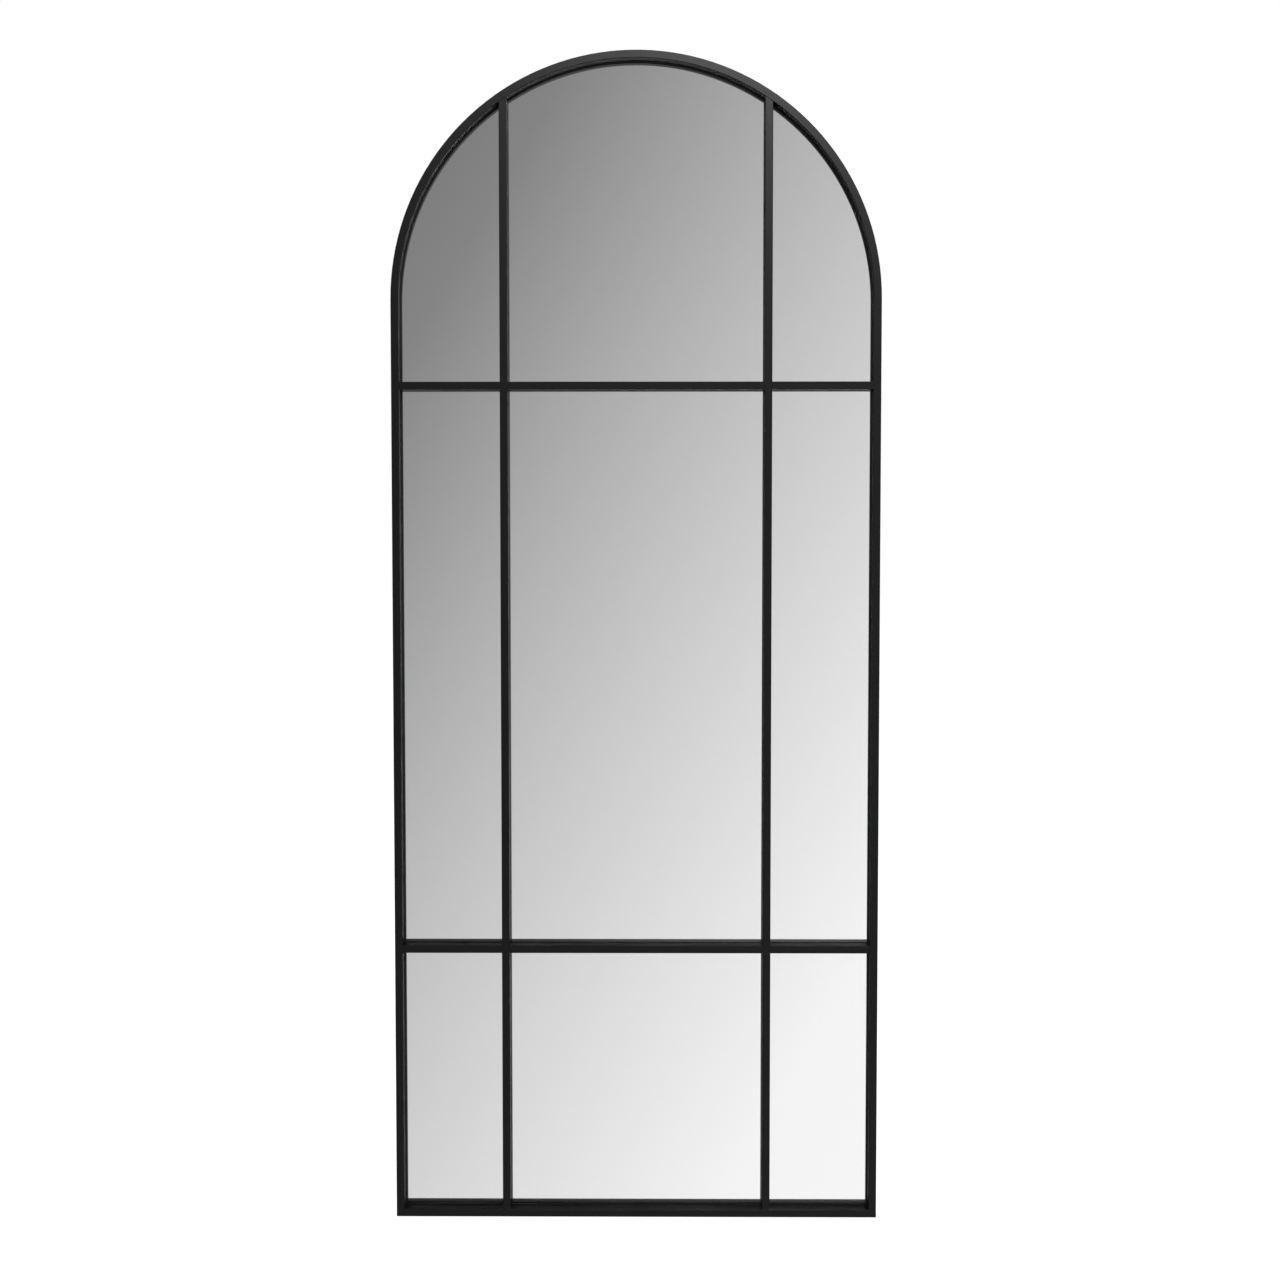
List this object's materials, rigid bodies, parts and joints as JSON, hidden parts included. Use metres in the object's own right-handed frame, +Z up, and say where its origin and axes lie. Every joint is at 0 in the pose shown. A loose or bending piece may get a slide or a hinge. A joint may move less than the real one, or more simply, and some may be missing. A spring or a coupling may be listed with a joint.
{
  "type": "arched window mirror",
  "caption": "Tall arched wall mirror in a slim black steel frame, with glazing bars over one pane, a fibreboard back and hinged hanging rings.",
  "frame": {"origin": "middle of the bottom rail's underside, half way through the depth of the frame tube", "axes": "+X to the right seen from the front, +Y from the front towards the wall, +Z up"},
  "size_m": [0.75, 0.037, 1.7999],
  "materials": {
    "frame_black": "satin black powder coat on steel",
    "foam_tape": "black closed-cell foam",
    "clear_glass": "polished clear float glass with ground edges",
    "mirror_silver": "silvered, with grey back paint",
    "fibreboard": "bare brown hard fibreboard",
    "block_rubber": "matt black rubber",
    "zinc_plate": "bright zinc plated sheet steel",
    "screw_steel": "bright zinc plated",
    "ring_steel": "bright zinc plated wire",
    "bumper_rubber": "matt dark rubber"
  },
  "bodies": {
    "mirror": {"arch_tube": "frame_black", "left_stile": "frame_black", "right_stile": "frame_black", "bottom_rail": "frame_black", "left_upright_bar": "frame_black", "right_upright_bar": "frame_black", "upper_transom_left": "frame_black", "upper_transom_centre": "frame_black", "upper_transom_right": "frame_black", "lower_transom_left": "frame_black", "lower_transom_centre": "frame_black", "lower_transom_right": "frame_black", "upright_bar_tapes": "foam_tape", "transom_tapes": "foam_tape", "mirror_pane": "clear_glass", "mirror_coating": "mirror_silver", "backboard": "fibreboard", "setting_blocks": "block_rubber", "edge_strips": "foam_tape", "retaining_clips": "zinc_plate", "clip_screws": "screw_steel", "left_hanger_strap": "zinc_plate", "right_hanger_strap": "zinc_plate", "hanger_screws": "screw_steel", "wall_bumpers": "bumper_rubber"},
    "left_ring": {"left_d_ring": "ring_steel"},
    "right_ring": {"right_d_ring": "ring_steel"}
  },
  "joints": [
    {"name": "left_ring_hinge", "type": "hinge", "parent": "mirror", "child": "left_ring", "pos_m": [-0.3675, 0.01825, 1.39], "axis": [1, 0, 0], "range_deg": [-1.5, 188]},
    {"name": "right_ring_hinge", "type": "hinge", "parent": "mirror", "child": "right_ring", "pos_m": [0.3675, 0.01825, 1.39], "axis": [1, 0, 0], "range_deg": [-1.5, 188]}
  ]
}
